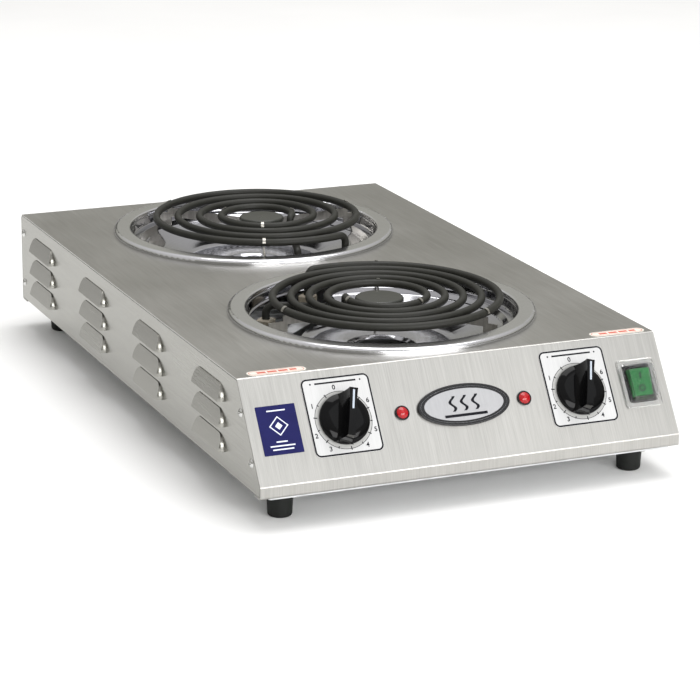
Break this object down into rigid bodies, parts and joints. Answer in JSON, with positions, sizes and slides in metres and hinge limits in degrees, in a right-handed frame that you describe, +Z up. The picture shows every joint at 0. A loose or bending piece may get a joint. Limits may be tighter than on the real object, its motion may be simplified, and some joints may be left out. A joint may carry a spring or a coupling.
{
  "type": "countertop double coil hot plate",
  "caption": "Low stainless countertop hot plate with coil burners in drip bowls, one behind the other, and a slanted control panel with knobs, lamps and a covered switch.",
  "frame": {"origin": "on the supporting surface, at the middle of the bounding box's footprint", "axes": "+X to the user's right, +Y to the rear, +Z up"},
  "size_m": [0.3656, 0.6175, 0.1221],
  "materials": {
    "stainless": "brushed satin",
    "galvanized": "dull galvanized",
    "bowl_chrome": "mirror bright",
    "coil_sheath": "dark oxidised, satin",
    "support_steel": "satin",
    "disc_enamel": "satin dark enamel",
    "white_ceramic": "glazed ceramic",
    "screw_steel": "bright zinc",
    "black_rubber": "matte",
    "knob_black": "gloss",
    "pointer_white": "printed line",
    "switch_black": "satin",
    "badge_silver": "brushed",
    "lamp_red": "translucent gloss",
    "lamp_white": "matte",
    "rocker_green": "translucent gloss",
    "clear_cover": "clear gloss",
    "plate_silver": "printed satin",
    "label_blue": "printed film",
    "label_white": "printed film",
    "lead_white": "silicone sleeve"
  },
  "bodies": {
    "base": {"badge_clips": "screw_steel", "badge_face": "badge_silver", "badge_rim": "switch_black", "bottom_plate": "galvanized", "bottom_screws": "screw_steel", "coil_clips_front": "support_steel", "coil_clips_rear": "support_steel", "coil_disc_front": "disc_enamel", "coil_disc_rear": "disc_enamel", "coil_element_front": "coil_sheath", "coil_element_rear": "coil_sheath", "coil_spider_front": "support_steel", "coil_spider_rear": "support_steel", "control_switch_left": "switch_black", "control_switch_right": "switch_black", "cord_bushing": "switch_black", "dial_plate_left": "plate_silver", "dial_plate_right": "plate_silver", "drip_bowl_front": "bowl_chrome", "drip_bowl_rear": "bowl_chrome", "foot_front_left": "black_rubber", "foot_front_right": "black_rubber", "foot_nuts": "screw_steel", "foot_rear_left": "black_rubber", "foot_rear_right": "black_rubber", "foot_screws": "screw_steel", "front_label": "label_blue", "ground_stud": "screw_steel", "heat_baffle": "galvanized", "housing_wrap": "stainless", "lamp_bezel_left": "switch_black", "lamp_bezel_right": "switch_black", "lamp_body_left": "lamp_white", "lamp_body_right": "lamp_white", "lamp_lens_left": "lamp_red", "lamp_lens_right": "lamp_red", "power_switch_case": "switch_black", "power_switch_cover": "clear_cover", "side_panel_left": "stainless", "side_panel_right": "stainless", "side_screws": "screw_steel", "supply_block": "switch_black", "supply_screws": "screw_steel", "switch_nuts": "screw_steel", "terminal_insulators_front": "white_ceramic", "terminal_insulators_rear": "white_ceramic", "terminal_stand_front": "galvanized", "terminal_stand_rear": "galvanized", "top_labels": "label_white", "trim_ring_front": "stainless", "trim_ring_rear": "stainless", "wiring": "lead_white"},
    "left_control": {"knob_left": "knob_black", "knob_pointer_left": "pointer_white", "switch_shaft_left": "screw_steel"},
    "right_control": {"knob_right": "knob_black", "knob_pointer_right": "pointer_white", "switch_shaft_right": "screw_steel"},
    "rocker": {"power_rocker": "rocker_green"}
  },
  "joints": [
    {"name": "knob_left_turn", "type": "hinge", "parent": "base", "child": "left_control", "pos_m": [-0.1005, -0.2797, 0.07138], "axis": [0, -0.8274, 0.5616], "continuous": true},
    {"name": "knob_right_turn", "type": "hinge", "parent": "base", "child": "right_control", "pos_m": [0.1005, -0.2797, 0.07138], "axis": [0, -0.8274, 0.5616], "continuous": true},
    {"name": "rocker_tilt", "type": "hinge", "parent": "base", "child": "rocker", "pos_m": [0.1538, -0.27853, 0.07132], "axis": [1, 0, 0], "range_deg": [-17.6, 0]}
  ]
}
